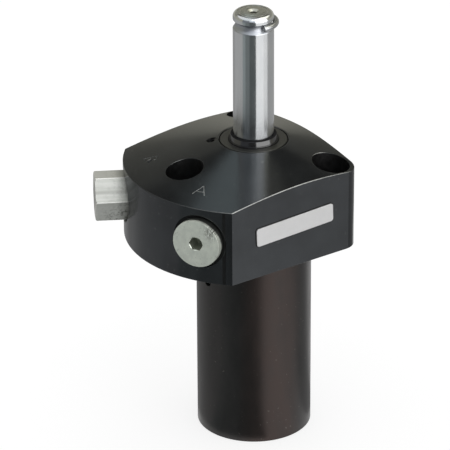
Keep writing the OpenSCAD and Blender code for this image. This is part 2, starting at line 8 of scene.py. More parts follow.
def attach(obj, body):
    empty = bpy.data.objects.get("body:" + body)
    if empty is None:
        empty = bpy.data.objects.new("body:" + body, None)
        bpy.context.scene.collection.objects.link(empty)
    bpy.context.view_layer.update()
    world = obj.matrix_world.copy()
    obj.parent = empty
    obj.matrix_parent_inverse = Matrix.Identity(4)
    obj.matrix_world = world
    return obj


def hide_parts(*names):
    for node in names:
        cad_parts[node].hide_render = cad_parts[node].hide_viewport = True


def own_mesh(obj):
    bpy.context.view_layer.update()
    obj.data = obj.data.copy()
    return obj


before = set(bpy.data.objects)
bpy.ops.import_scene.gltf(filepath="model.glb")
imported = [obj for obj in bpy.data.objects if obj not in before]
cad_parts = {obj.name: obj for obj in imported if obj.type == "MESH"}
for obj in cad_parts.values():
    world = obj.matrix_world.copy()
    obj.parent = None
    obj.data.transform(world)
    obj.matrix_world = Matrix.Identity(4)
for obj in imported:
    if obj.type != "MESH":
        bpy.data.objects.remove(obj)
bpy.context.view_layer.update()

mm = 0.001
up = Vector((0, 0, 1))
mergeGap = 1e-6


def toObjectMode():
    if bpy.context.object and bpy.context.object.mode != "OBJECT":
        bpy.ops.object.mode_set(mode="OBJECT")


def deselectAll():
    toObjectMode()
    bpy.ops.object.select_all(action="DESELECT")


def selectOnly(obj):
    deselectAll()
    obj.select_set(True)
    bpy.context.view_layer.objects.active = obj


def startEdit(obj, element="EDGE"):
    selectOnly(obj)
    bpy.ops.object.mode_set(mode="EDIT")
    bpy.ops.mesh.select_mode(type=element)
    bpy.ops.mesh.select_all(action="DESELECT")


def selectMesh():
    bpy.ops.mesh.select_all(action="SELECT")


def pick(obj, kind, test):
    # selects the faces or edges of the mesh in edit mode that pass the test
    mesh = bmesh.from_edit_mesh(obj.data)
    count = 0
    for part in getattr(mesh, kind):
        if test(part):
            part.select_set(True)
            count += 1
    mesh.select_flush_mode()
    bmesh.update_edit_mesh(obj.data)
    return count


def turnOutwards():
    selectMesh()
    bpy.ops.mesh.normals_make_consistent(inside=False)
    toObjectMode()


def place(obj, matrix):
    # moves a piece into place and puts the move into its mesh
    obj.matrix_world = matrix
    selectOnly(obj)
    bpy.ops.object.transform_apply()


def turned(name, section, segments=128, hollow=False):
    # a disc or ring is extruded from step to step of its half section, given as radius and height in mm
    deselectAll()
    radius, height = section[0]
    bpy.ops.mesh.primitive_circle_add(vertices=segments, radius=radius * mm, location=(0, 0, height * mm),
                                      fill_type="NOTHING" if hollow else "NGON")
    obj = bpy.context.object
    obj.name = name
    bpy.ops.object.transform_apply()
    bpy.ops.object.mode_set(mode="EDIT")
    bpy.ops.mesh.select_mode(type="EDGE" if hollow else "FACE")
    selectMesh()
    for nextRadius, nextHeight in section[1:]:
        rise = (nextHeight - height) * mm
        bpy.ops.mesh.extrude_region_move(TRANSFORM_OT_translate={"value": (0, 0, rise)})
        grow = nextRadius / radius
        bpy.ops.transform.resize(value=(grow, grow, 1), center_override=(0, 0, 0))
        radius, height = nextRadius, nextHeight
    if hollow:
        bpy.ops.mesh.select_all(action="DESELECT")
        pick(obj, "edges", lambda edge: edge.is_boundary)
        bpy.ops.mesh.bridge_edge_loops()
    turnOutwards()
    return obj


def combine(target, other, operation):
    selectOnly(target)
    step = target.modifiers.new(operation, "BOOLEAN")
    step.operation = operation
    step.solver = "EXACT"
    step.object = other
    bpy.ops.object.modifier_apply(modifier=step.name)
    bpy.data.objects.remove(other)


def breakEdges(obj, test, width, segments=2, material=-1):
    startEdit(obj)
    count = pick(obj, "edges", test)
    bpy.ops.mesh.bevel(offset=width * mm, segments=segments, profile=0.5, clamp_overlap=False,
                       material=material)
    toObjectMode()
    return count


def sharp(edge, degrees=25):
    return len(edge.link_faces) == 2 and edge.calc_face_angle(0) > math.radians(degrees)


def middle(edge):
    return (edge.verts[0].co + edge.verts[1].co) / (2 * mm)


def along(edge):
    # how far an edge runs in each direction
    run = edge.verts[1].co - edge.verts[0].co
    return Vector((abs(run.x), abs(run.y), abs(run.z))) / mm


def centre(face):
    return face.calc_center_median() / mm


def offAxis(spot):
    return math.hypot(spot.x, spot.y)


def smoothOff(obj, degrees=32):
    # smooth shading with flat faces kept flat beside their broken edges
    selectOnly(obj)
    bpy.ops.object.shade_smooth_by_angle(angle=math.radians(degrees))
    weigh = obj.modifiers.new("weigh", "WEIGHTED_NORMAL")
    weigh.mode = "FACE_AREA"
    weigh.weight = 100
    weigh.keep_sharp = True
    bpy.ops.object.modifier_apply(modifier=weigh.name)


def arc(centreR, centreZ, radius, fromDegrees, toDegrees, steps):
    # points of a rounding in a half section
    points = []
    for step in range(steps + 1):
        turn = math.radians(fromDegrees + (toDegrees - fromDegrees) * step / steps)
        points.append((centreR + radius * math.cos(turn), centreZ + radius * math.sin(turn)))
    return points


def aroundAxis(degrees):
    # angles run from -Y towards +X, as round the flange
    return Matrix.Rotation(math.radians(degrees), 4, "Z")


def upright(degrees, reach, height=0):
    # local +Z stays up, and local -Y points out along the radius
    return aroundAxis(degrees) @ Matrix.Translation((0, -reach * mm, height * mm))


def outwards(degrees, reach, height):
    # local +Z points out along the radius, local +Y points up
    return upright(degrees, reach, height) @ Matrix.Rotation(math.radians(90), 4, "X")


def coat(obj, *finishes):
    for finish in finishes:
        obj.data.materials.append(finish)


def assign(obj, slot, test):
    # gives the faces that pass the test a material slot
    startEdit(obj, "FACE")
    pick(obj, "faces", test)
    obj.active_material_index = slot
    bpy.ops.object.material_slot_assign()
    toObjectMode()


def finishPiece(obj, body, slot, *nodes):
    smoothOff(obj)
    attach(obj, body)
    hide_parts(*nodes)
    print(obj.name, len(obj.data.polygons), "faces")


# Materials
socketNames = {"colour": "Base Color", "metal": "Metallic", "rough": "Roughness", "normal": "Normal",
               "specular": "Specular IOR Level", "aniso": "Anisotropic",
               "anisoTurn": "Anisotropic Rotation", "tangent": "Tangent"}


def newMaterial(name, **values):
    # what is the same all over is set on the shader itself
    material = bpy.data.materials.new(name)
    material.use_nodes = True
    shader = material.node_tree.nodes["Principled BSDF"]
    for socket, value in values.items():
        shader.inputs[socketNames[socket]].default_value = value
    return material


def wired(material, **outputs):
    # links what varies to the shader
    tree = material.node_tree
    shader = tree.nodes["Principled BSDF"]
    for socket, output in outputs.items():
        tree.links.new(output, shader.inputs[socketNames[socket]])
    return material


def node(where, kind, links=None, **settings):
    # adds a node to a tree, or to the tree that a socket is in, with its properties, values and links
    tree = where.id_data
    made = tree.nodes.new(kind)
    for key, value in settings.items():
        setattr(made, key, value)
    for socket, value in (links or {}).items():
        if isinstance(value, bpy.types.NodeSocket):
            tree.links.new(value, made.inputs[socket])
        else:
            made.inputs[socket].default_value = value
    return made


def surfacePoint(material, scale=(1, 1, 1), turn=(0, 0, 0)):
    # object coordinates in millimetres
    spot = node(material.node_tree, "ShaderNodeTexCoord").outputs["Object"]
    stretched = tuple(side / mm for side in scale)
    return node(spot, "ShaderNodeMapping", {"Vector": spot, "Rotation": turn, "Scale": stretched}).outputs[0]


def noise(point, scale, detail=3.0, rough=0.55):
    links = {"Vector": point, "Scale": scale, "Detail": detail, "Roughness": rough}
    return node(point, "ShaderNodeTexNoise", links).outputs["Fac"]


def lines(position, scale, detail=2.0):
    # uneven fine lines along one direction
    links = {"W": position, "Scale": scale, "Detail": detail}
    return node(position, "ShaderNodeTexNoise", links, noise_dimensions="1D").outputs["Fac"]


def maths(operation, first, second=0.0):
    return node(first, "ShaderNodeMath", {0: first, 1: second}, operation=operation).outputs[0]


def times(first, second):
    return maths("MULTIPLY", first, second)


def minus(first, second):
    return maths("SUBTRACT", first, second)


def away(value, spot):
    # distance along one direction from a spot on it
    return maths("ABSOLUTE", minus(value, spot))


def vectors(operation, first, second=(0, 0, 0)):
    # lengths, distances and dot products are plain values
    made = node(first, "ShaderNodeVectorMath", {0: first, 1: second}, operation=operation)
    return made.outputs["Value" if operation in ("LENGTH", "DISTANCE", "DOT_PRODUCT") else "Vector"]


def spread(value, low, high, toLow, toHigh):
    links = {"Value": value, "From Min": low, "From Max": high, "To Min": toLow, "To Max": toHigh}
    return node(value, "ShaderNodeMapRange", links).outputs[0]


def vary(pattern, limits):
    # a pattern as a roughness between two limits
    return spread(pattern, 0.3, 0.7, *limits)


def blendColour(share, first, second):
    return node(share, "ShaderNodeMix", {0: share, 6: first, 7: second}, data_type="RGBA").outputs[2]


def twoTone(pattern, look, low=0.35, high=0.65):
    return blendColour(spread(pattern, low, high, 0.0, 1.0), look["dark"], look["light"])


def bump(height, strength, depth, normal=None):
    links = {"Height": height, "Strength": strength, "Distance": depth * mm}
    if normal:
        links["Normal"] = normal
    return node(height, "ShaderNodeBump", links).outputs["Normal"]


def radiusFrom(point):
    return vectors("LENGTH", vectors("MULTIPLY", point, (1, 1, 0)))


def axes(point):
    return node(point, "ShaderNodeSeparateXYZ", {0: point}).outputs[:]


def heightOf(point):
    return axes(point)[2]


def rgb(red, green, blue):
    return (red, green, blue, 1.0)


flangeLook = {"dark": rgb(0.045, 0.048, 0.051), "light": rgb(0.055, 0.059, 0.063),
              "fleck": rgb(0.26, 0.27, 0.26), "rough": (0.15, 0.20)}


def makeFlangeOxide():
    material = newMaterial("flangeOxide", metal=0.8)
    point = surfacePoint(material)
    mottle = noise(point, 0.12, 4.0, 0.5)
    flecks = spread(noise(point, 1.5, 2.0, 0.4), 0.72, 0.75, 0.0, 0.4)
    turnedMarks = bump(lines(radiusFrom(point), 7.0, 3.0), 0.04, 0.04)
    colour = blendColour(flecks, twoTone(mottle, flangeLook), flangeLook["fleck"])
    return wired(material, colour=colour, rough=vary(mottle, flangeLook["rough"]),
                 normal=bump(noise(point, 6.0, 2.0), 0.03, 0.02, turnedMarks))


barrelLook = {"dark": rgb(0.042, 0.0415, 0.041), "light": rgb(0.052, 0.051, 0.0505),
              "fleck": rgb(0.24, 0.22, 0.20), "rough": (0.32, 0.40),
              "brownSheen": rgb(0.061, 0.047, 0.043), "sheenSide": (0.958, -0.286, 0), "sheenFrom": (11.5, 13.6)}


def makeBarrelOxide():
    # black that turns brown towards the plate's side: the oxide's own brown tint, laid only where the
    # reflected highlight falls, so also a painted highlight
    material = newMaterial("barrelOxide", metal=0.8)
    point = surfacePoint(material)
    mottle = noise(surfacePoint(material, (1, 1, 0.4)), 0.2, 4.0, 0.55)
    # painted warm highlight on the side where the barrel's reflection is brightest
    facing = vectors("DOT_PRODUCT", point, barrelLook["sheenSide"])
    brownSheen = times(spread(facing, *barrelLook["sheenFrom"], 0.12, 1.0), spread(mottle, 0.3, 0.6, 0.6, 1.0))
    colour = blendColour(brownSheen, twoTone(mottle, barrelLook), barrelLook["brownSheen"])
    flecks = spread(noise(point, 1.4, 2.0, 0.4), 0.72, 0.75, 0.0, 0.3)
    feed = lines(heightOf(point), 5.0, 3.0)
    return wired(material, colour=blendColour(flecks, colour, barrelLook["fleck"]),
                 rough=vary(mottle, barrelLook["rough"]), normal=bump(feed, 0.05, 0.04))


edgeWearAndSheen = {"dark": rgb(0.05, 0.053, 0.055), "bright": rgb(0.40, 0.405, 0.395),
            "flatX": (22.3, 22.5), "fadeY": (-2.0, 13.0), "corner": (22.7, -22.55, 19.2), "reach": 15.0,
            "paintedRimGlints": (((12.9, 9.5, 0), 0.9), ((-4.85, -19.7, 0), 0.4)), "paintedRimGlintReach": (1.0, 2.6)}


def makeWornEdgeSheen():
    # oxide rubbed off and a painted edge highlight along the plate side and near its front corner, and
    # painted highlights at the far rims of two counterbores
    material = newMaterial("wornEdgeSheen", metal=0.85, rough=0.34)
    point = surfacePoint(material)
    x, y, z = axes(point)
    # wear and a painted edge highlight along the plate side and near the front corner
    onFlat = times(spread(x, *edgeWearAndSheen["flatX"], 0.0, 0.7), spread(y, *edgeWearAndSheen["fadeY"], 1.0, 0.35))
    apart = vectors("DISTANCE", point, edgeWearAndSheen["corner"])
    nearCorner = spread(apart, 0.0, edgeWearAndSheen["reach"], 0.45, 0.0)
    rubbed = spread(noise(point, 0.7, 4.0, 0.6), 0.25, 0.6, 0.45, 1.0)
    share = times(rubbed, maths("MAXIMUM", onFlat, nearCorner))
    # painted highlights on the far rims of two counterbores
    level = vectors("MULTIPLY", point, (1, 1, 0))
    for spot, strength in edgeWearAndSheen["paintedRimGlints"]:
        near = spread(vectors("DISTANCE", level, spot), *edgeWearAndSheen["paintedRimGlintReach"], strength, 0.0)
        share = maths("MAXIMUM", share, near)
    return wired(material, colour=blendColour(share, edgeWearAndSheen["dark"], edgeWearAndSheen["bright"]),
                 normal=bump(noise(point, 9.0), 0.1, 0.03))


stampLook = {"dark": rgb(0.03, 0.031, 0.031), "bright": rgb(0.50, 0.51, 0.50), "fadeX": (-2.0, 2.0)}


def makeStampedMark():
    # brighter in the letter beside the front port
    material = newMaterial("stampedMark", metal=0.45, rough=0.4)
    point = surfacePoint(material)
    x, y, z = axes(point)
    rubbed = times(spread(noise(point, 1.2, 3.0), 0.3, 0.6, 0.4, 1.0),
                   spread(x, *stampLook["fadeX"], 0.35, 1.0))
    return wired(material, colour=blendColour(rubbed, stampLook["dark"], stampLook["bright"]),
                 normal=bump(noise(point, 8.0), 0.1, 0.03))


def makeShadedBoreOxide():
    # the bore's rougher oxide, painted far darker than the flange: painted shade inside holes and crevices
    material = newMaterial("shadedBoreOxide", metal=0.5)
    point = surfacePoint(material)
    boreShadeCloud = noise(point, 0.8, 4.0)
    feed = lines(heightOf(point), 4.0)
    return wired(material, colour=blendColour(boreShadeCloud, rgb(0.004, 0.004, 0.004), rgb(0.016, 0.016, 0.016)),
                 rough=vary(boreShadeCloud, (0.38, 0.55)), normal=bump(feed, 0.15, 0.05))


def makeHardChrome():
    # ground round the rod, so highlights stretch along it
    material = newMaterial("hardChrome", metal=1.0, aniso=0.8, anisoTurn=0.25)
    haze = noise(surfacePoint(material, (1, 1, 0.35)), 0.5, 4.0)
    grind = lines(heightOf(surfacePoint(material)), 14.0, 3.0)
    around = node(material.node_tree, "ShaderNodeTangent", direction_type="RADIAL", axis="Z").outputs[0]
    return wired(material, colour=blendColour(haze, rgb(0.60, 0.62, 0.64), rgb(0.70, 0.71, 0.71)),
                 rough=vary(haze, (0.15, 0.22)), tangent=around, normal=bump(grind, 0.02, 0.02))


def makeCapSteel():
    # turned face with short dark smears that follow the turning
    material = newMaterial("capSteel", metal=0.9)
    point = surfacePoint(material)
    radius = radiusFrom(point)
    x, y, z = axes(point)
    turn = maths("ARCTAN2", y, x)
    rings = lines(radius, 5.0, 3.0)
    stain = noise(point, 0.7, 4.0)
    colour = blendColour(stain, rgb(0.40, 0.41, 0.36), rgb(0.52, 0.52, 0.47))
    polar = node(turn, "ShaderNodeCombineXYZ", {0: times(radius, 1.6), 1: turn}).outputs[0]
    smears = spread(noise(polar, 1.2, 3.0, 0.6), 0.58, 0.66, 0.0, 0.8)
    return wired(material, colour=blendColour(smears, colour, rgb(0.10, 0.11, 0.08)),
                 rough=vary(rings, (0.26, 0.4)), normal=bump(rings, 0.12, 0.04))


portAxisZ = 10.7
zincLook = {"dark": rgb(0.63, 0.665, 0.595), "light": rgb(0.76, 0.80, 0.71), "rough": (0.36, 0.5),
            "facing": 30, "faceOut": 33.6, "grime": rgb(0.13, 0.13, 0.11),
            "scuffAt": (3.9, 0, 14.3), "scuffReach": (0.9, 2.3), "hatch": (3.2, 1, 1.1),
            "scuff": rgb(0.14, 0.14, 0.12), "paintedGlint": rgb(0.95, 0.96, 0.95),
            "recessShadeDepth": (1.5, 0.5), "recessShadeRise": 5.0, "recessShadeEdge": 0.45, "darkAtRoot": rgb(0.02, 0.021, 0.02)}


def makeSocketZinc():
    # satin zinc plating with grey handling marks and turned rings round the port's axis
    material = newMaterial("zincFront", metal=0.55)
    point = surfacePoint(material)
    local = surfacePoint(material, turn=(0, 0, math.radians(-zincLook["facing"])))
    x, y, z = axes(local)
    cloud = noise(point, 0.7, 5.0, 0.6)
    grime = spread(noise(point, 1.6, 6.0, 0.7), 0.60, 0.72, 0.0, 0.6)
    colour = blendColour(grime, twoTone(cloud, zincLook, 0.3, 0.7), zincLook["grime"])
    # spanner scuffs on the upper right of the rim, dark marks with painted glints among them
    apart = vectors("MULTIPLY", vectors("SUBTRACT", local, zincLook["scuffAt"]), (1, 0, 1))
    near = spread(vectors("LENGTH", apart), *zincLook["scuffReach"], 1.0, 0.0)
    hatch = noise(vectors("MULTIPLY", apart, zincLook["hatch"]), 1.0, 4.0, 0.7)
    dark = times(near, spread(hatch, 0.46, 0.56, 0.0, 0.8))
    paintedGlint = times(near, spread(hatch, 0.38, 0.46, 0.9, 0.0))
    colour = blendColour(dark, colour, zincLook["scuff"])
    colour = blendColour(paintedGlint, colour, zincLook["paintedGlint"])
    # painted shade round the root of the head in the spot face's recess, that reaches further forward higher
    # up
    behind = maths("ADD", y, zincLook["faceOut"])
    start = spread(z, portAxisZ, portAxisZ + zincLook["recessShadeRise"], *zincLook["recessShadeDepth"])
    recessShade = spread(minus(behind, start), 0.0, zincLook["recessShadeEdge"], 0.0, 0.95)
    centred = vectors("ADD", local, (0, 0, -portAxisZ))
    fromCentre = vectors("LENGTH", vectors("MULTIPLY", centred, (1, 0, 1)))
    rings = bump(lines(fromCentre, 6.0, 2.0), 0.1, 0.04)
    return wired(material, colour=blendColour(recessShade, colour, zincLook["darkAtRoot"]),
                 rough=vary(cloud, zincLook["rough"]),
                 normal=bump(noise(point, 5.0, 3.0), 0.08, 0.05, rings))


hexLook = {"dark": rgb(0.39, 0.395, 0.365), "light": rgb(0.53, 0.535, 0.505), "rough": (0.36, 0.5),
           "facing": -30, "drawn": (1.2, 0.07, 1.2), "slantX": 0.616, "slantZ": 0.788, "halfFlat": 3.1,
           "sides": rgb(0.80, 0.805, 0.76), "bandAt": -0.5, "band": rgb(0.24, 0.24, 0.22),
           "rubbed": rgb(0.95, 0.95, 0.91), "shadeOut": (31.6, 34.2), "shade": rgb(0.11, 0.11, 0.095),
           "dirtOut": (32.0, 38.0), "dirtLift": (-3.0, 1.0), "darkAtRoot": rgb(0.09, 0.09, 0.075)}


def makeHexZinc():
    # bar stock drawn lengthwise, with a scuffed band, rubbed corners carrying painted edge highlights, faces
    # beside the front painted lighter as painted light, and painted shade and dirt towards the flange
    material = newMaterial("zincSide", metal=0.55)
    local = surfacePoint(material, turn=(0, 0, math.radians(-hexLook["facing"])))
    x, y, z = axes(local)
    drawn = vectors("MULTIPLY", local, hexLook["drawn"])
    streaks = noise(drawn, 1.0, 4.0, 0.6)
    colour = twoTone(streaks, hexLook)
    # across the front flat, from its middle line
    lift = minus(z, portAxisZ)
    across = minus(times(lift, hexLook["slantZ"]), times(x, hexLook["slantX"]))
    fromMiddle = maths("ABSOLUTE", across)
    # faces beside the front flat and its opposite are painted lighter: painted light that differs from face
    # to face
    offFront = spread(fromMiddle, hexLook["halfFlat"], hexLook["halfFlat"] + 0.15, 0.0, 0.55)
    colour = blendColour(offFront, colour, hexLook["sides"])
    band = times(spread(away(across, hexLook["bandAt"]), 0.2, 0.65, 0.5, 0.0),
                 spread(noise(drawn, 2.0, 3.0), 0.3, 0.6, 0.5, 1.0))
    colour = blendColour(band, colour, hexLook["band"])
    # bright lines along the front flat's corners: worn plating and a painted edge highlight
    rubbed = spread(away(fromMiddle, hexLook["halfFlat"]), 0.05, 0.2, 0.85, 0.0)
    colour = blendColour(rubbed, colour, hexLook["rubbed"])
    # painted shadow on the end nearest the flange
    out = times(y, -1.0)
    colour = blendColour(spread(out, *hexLook["shadeOut"], 0.6, 0.0), colour, hexLook["shade"])
    dirty = times(spread(out, *hexLook["dirtOut"], 1.0, 0.1), spread(lift, *hexLook["dirtLift"], 1.0, 0.25))
    darkAtRoot = spread(noise(surfacePoint(material), 1.1, 6.0, 0.7), 0.50, 0.60, 0.0, 0.95)
    return wired(material, colour=blendColour(times(darkAtRoot, dirty), colour, hexLook["darkAtRoot"]),
                 rough=vary(streaks, hexLook["rough"]), normal=bump(streaks, 0.1, 0.05))


def makePlateSilver():
    material = newMaterial("plateSilver", metal=0.55)
    brushed = noise(surfacePoint(material, (1, 0.05, 3.0)), 3.0, 3.0)
    cloud = noise(surfacePoint(material), 0.5, 3.0)
    return wired(material, colour=blendColour(cloud, rgb(0.60, 0.60, 0.60), rgb(0.66, 0.66, 0.66)),
                 rough=vary(brushed, (0.38, 0.52)), normal=bump(brushed, 0.05, 0.02))


def makeMachined(name, dark, light, rough, metal=1.0, marks="round", stain=0.8, strength=0.1, depth=0.03):
    # turned or drawn metal, with marks round the axis or as rings across a face
    material = newMaterial(name, metal=metal)
    point = surfacePoint(material)
    feed = lines(heightOf(point) if marks == "round" else radiusFrom(point), 6.0, 3.0)
    return wired(material, colour=blendColour(noise(point, stain, 4.0), dark, light),
                 rough=vary(feed, rough), normal=bump(feed, strength, depth))


def makeMoulded(name, dark, light, rough, cloudScale=1.0, grainScale=10.0, strength=0.1, **values):
    # plastics and rubber with a fine grain
    material = newMaterial(name, **values)
    point = surfacePoint(material)
    cloud = noise(point, cloudScale, 4.0)
    return wired(material, colour=blendColour(cloud, dark, light), rough=vary(cloud, rough),
                 normal=bump(noise(point, grainScale), strength, 0.03))


def makeRubber(name, specular, rough):
    return makeMoulded(name, rgb(0.007, 0.007, 0.008), rgb(0.017, 0.017, 0.018), rough, 1.4, 12.0, 0.06,
                       specular=specular)


flangeOxide = makeFlangeOxide()
barrelOxide = makeBarrelOxide()
wornEdgeSheen = makeWornEdgeSheen()
stampedMark = makeStampedMark()
shadedBoreOxide = makeShadedBoreOxide()
hardChrome = makeHardChrome()
capSteel = makeCapSteel()
zincFront = makeSocketZinc()
zincSide = makeHexZinc()
socketShade = makeMachined("socketShade", rgb(0.26, 0.28, 0.23), rgb(0.40, 0.43, 0.36), (0.3, 0.5), 0.5,
                           "across")
plateSilver = makePlateSilver()
glandOxide = makeMachined("glandOxide", rgb(0.050, 0.050, 0.046), rgb(0.085, 0.086, 0.08), (0.24, 0.4), 0.8,
                          "across", 0.9, 0.15, 0.04)
blackRubber = makeRubber("blackRubber", 0.4, (0.42, 0.62))
lipRubber = makeRubber("lipRubber", 1.0, (0.08, 0.16))
lipTop = makeRubber("lipTop", 0.05, (0.6, 0.8))
screwBlack = makeMachined("screwBlack", rgb(0.012, 0.012, 0.013), rgb(0.035, 0.035, 0.036), (0.3, 0.45), 0.7)
groundSteel = makeMachined("groundSteel", rgb(0.36, 0.37, 0.38), rgb(0.50, 0.51, 0.52), (0.2, 0.34))
ballSteel = makeMachined("ballSteel", rgb(0.52, 0.53, 0.54), rgb(0.60, 0.61, 0.62), (0.08, 0.14))
springWire = makeMachined("springWire", rgb(0.34, 0.35, 0.36), rgb(0.48, 0.49, 0.50), (0.24, 0.36),
                          marks="across")
grooveSteel = makeMachined("grooveSteel", rgb(0.36, 0.375, 0.40), rgb(0.46, 0.475, 0.50), (0.34, 0.46))
cageBrass = makeMachined("cageBrass", rgb(0.38, 0.27, 0.09), rgb(0.50, 0.36, 0.13), (0.24, 0.4))
sealPlastic = makeMoulded("sealPlastic", rgb(0.022, 0.09, 0.105), rgb(0.038, 0.13, 0.145), (0.4, 0.55))
guidePlastic = makeMoulded("guidePlastic", rgb(0.44, 0.40, 0.29), rgb(0.54, 0.50, 0.38), (0.45, 0.6))
print("materials ready")

# Inner pieces keep their solids and get their finishes
innerFinishes = {
    "rod_seal": sealPlastic, "gland_o_ring": blackRubber, "gland_lock_screw": screwBlack,
    "guide_sleeve": groundSteel, "sleeve_pin": screwBlack,
    "front_plug_seal": blackRubber, "side_plug_seal": blackRubber, "passage_plug": groundSteel,
    "ball_cage": cageBrass, "cam_balls": ballSteel, "piston": groundSteel,
    "piston_guide_ring": guidePlastic, "piston_seal": sealPlastic, "spigot_seal": blackRubber,
    "piston_lock_ring": groundSteel,
}
for name, finish in innerFinishes.items():
    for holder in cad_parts[name].material_slots:
        holder.material = finish
print("inner pieces finished")

# Body: turned blank, milled to its outline, then drilled
body = {
    "boreR": 6.63, "boreFloor": -41.5, "pocketR": 8.5, "pocketFloor": -12.689, "pocketEdge": 0.1,
    "landR": 9.0, "topZ": 24.341, "flangeR": 32.0, "rimZ": 19.2,
    "barrelR": 14.2, "footZ": -52.4, "footEdge": 0.2,
    "halfWidth": 22.7, "rear": 15.85, "cornerR": 4.3, "brokenEdge": 0.15,
    "boltCircle": 20.5, "boltAngles": (0, 120, 240), "boltHoleR": 2.75, "boltSeatR": 4.6, "boltSeatZ": 13.0,
    "portAngles": (30, -30), "portZ": portAxisZ, "spotR": 6.75, "spotReach": 31.1,
    "ringSeatR": 5.23, "ringSeatDepth": 1.26, "portR": 3.97, "portDepth": 10.0,
    "oilR": 1.25, "oilCircle": 11.35, "oilToPocket": 7.5,
    "lockR": 1.25, "lockReach": 10.4, "lockAngle": -34.5, "lockTilt": 30, "lockRun": 8.8,
    "pinR": 1.25, "pinAngle": 1, "pinZ": -10.389, "pinRun": 7, "holeEdge": 0.12, "cutterOver": 2,
}
flangeSlot, wornSheenSlot, barrelSlot, shadedBoreSlot, stampSlot = range(5)
slope = (body["topZ"] - body["rimZ"]) / (body["flangeR"] - body["landR"])
flangedBody = turned("flangedBody", [
    (body["boreR"], body["boreFloor"]),
    (body["boreR"], body["pocketFloor"]),
    (body["pocketR"], body["pocketFloor"]),
    (body["pocketR"], body["topZ"] - body["pocketEdge"]),
    (body["pocketR"] + body["pocketEdge"], body["topZ"]),
    (body["landR"], body["topZ"]),
    (body["flangeR"], body["rimZ"]),
    (body["flangeR"], 0),
    (body["barrelR"], 0),
    (body["barrelR"], body["footZ"] + body["footEdge"]),
    (body["barrelR"] - body["footEdge"], body["footZ"]),
], 256)
coat(flangedBody, flangeOxide, wornEdgeSheen, barrelOxide, shadedBoreOxide, stampedMark)

# a block with two rounded corners mills the flats
deselectAll()
over = body["cutterOver"]
blockDepth = body["flangeR"] + 2 * over + body["rear"]
blockHeight = 200
bpy.ops.mesh.primitive_cube_add(size=1, location=(0, (body["rear"] - blockDepth / 2) * mm, 0),
                                scale=(2 * body["halfWidth"] * mm, blockDepth * mm, blockHeight * mm))
block = bpy.context.object
bpy.ops.object.transform_apply()
breakEdges(block, lambda edge: along(edge).z > blockHeight / 2 and middle(edge).y > body["rear"] - 1,
           body["cornerR"], 14)
combine(flangedBody, block, "INTERSECT")


def drill(section, segments, where):
    cutter = turned("cutter", section, segments)
    place(cutter, where)
    combine(flangedBody, cutter, "DIFFERENCE")


for angle in body["boltAngles"]:
    drill([(body["boltHoleR"], -over), (body["boltHoleR"], body["boltSeatZ"]),
           (body["boltSeatR"], body["boltSeatZ"]), (body["boltSeatR"], body["topZ"] + 2 * over)],
          96, upright(angle, body["boltCircle"]))

seat, deep = body["ringSeatDepth"], body["portDepth"]
for angle, drillTo in zip(body["portAngles"], (body["oilToPocket"], body["oilCircle"])):
    drill([(body["oilR"], drillTo - body["spotReach"]), (body["oilR"], -deep), (body["portR"], -deep),
           (body["portR"], -seat), (body["ringSeatR"], -seat), (body["ringSeatR"], 0),
           (body["spotR"], 0), (body["spotR"], 2 * over)],
          96, outwards(angle, body["spotReach"], body["portZ"]))

# oil passage from the side port down to the floor of the bore
passageAngle = body["portAngles"][1]
drill([(body["oilR"], body["footZ"] - 1), (body["oilR"], body["portZ"])], 32,
      upright(passageAngle, body["oilCircle"]))
drill([(body["oilR"], 1 - body["oilCircle"]), (body["oilR"], 0)], 32,
      outwards(passageAngle, body["oilCircle"], body["boreFloor"] + 2 * body["oilR"]))

lockAxis = (upright(body["lockAngle"], body["lockReach"], body["topZ"])
            @ Matrix.Rotation(math.radians(body["lockTilt"]), 4, "X"))
drill([(body["lockR"], -body["lockRun"]), (body["lockR"], over)], 48, lockAxis)
drill([(body["pinR"], -body["pinRun"]), (body["pinR"], over)], 48,
      outwards(body["pinAngle"], body["barrelR"], body["pinZ"]))
print("body drilled")


def fromBolt(spot, angle):
    return offAxis(spot - aroundAxis(angle) @ Vector((0, -body["boltCircle"], 0)))


def fromPort(spot, angle):
    # distance from the port's axis, and how far out along it
    local = aroundAxis(-angle) @ spot
    return math.hypot(local.x, local.z - body["portZ"]), -local.y


def holeMouth(edge):
    # mouths of the counterbores and of the ports' spot faces
    if not sharp(edge):
        return False
    spot = middle(edge)
    for angle in body["boltAngles"]:
        if abs(fromBolt(spot, angle) - body["boltSeatR"]) < 0.02 and spot.z > body["boltSeatZ"] + 2:
            return True
    for angle in body["portAngles"]:
        gap, out = fromPort(spot, angle)
        if abs(gap - body["spotR"]) < 0.02 and out > body["spotReach"] - 1.1:
            return abs(out - body["spotReach"]) > 0.05
    return False


def outerEdge(edge):
    # edges of the flange's outline in plan, with the mouths of the ports left out
    if not sharp(edge) or holeMouth(edge):
        return False
    spot = middle(edge)
    cornerX, cornerY = body["halfWidth"] - body["cornerR"], body["rear"] - body["cornerR"]
    gaps = [abs(offAxis(spot) - body["flangeR"]), abs(abs(spot.x) - body["halfWidth"]),
            abs(spot.y - body["rear"])]
    if abs(spot.x) > cornerX and spot.y > cornerY:
        gaps.append(abs(math.hypot(abs(spot.x) - cornerX, spot.y - cornerY) - body["cornerR"]))
    return min(gaps) < 0.03


rimCount = breakEdges(flangedBody, outerEdge, body["brokenEdge"], 3, wornSheenSlot)
assign(flangedBody, flangeSlot, lambda face: centre(face).z < body["rimZ"] - 1)
print("flange rim", rimCount, "edges")

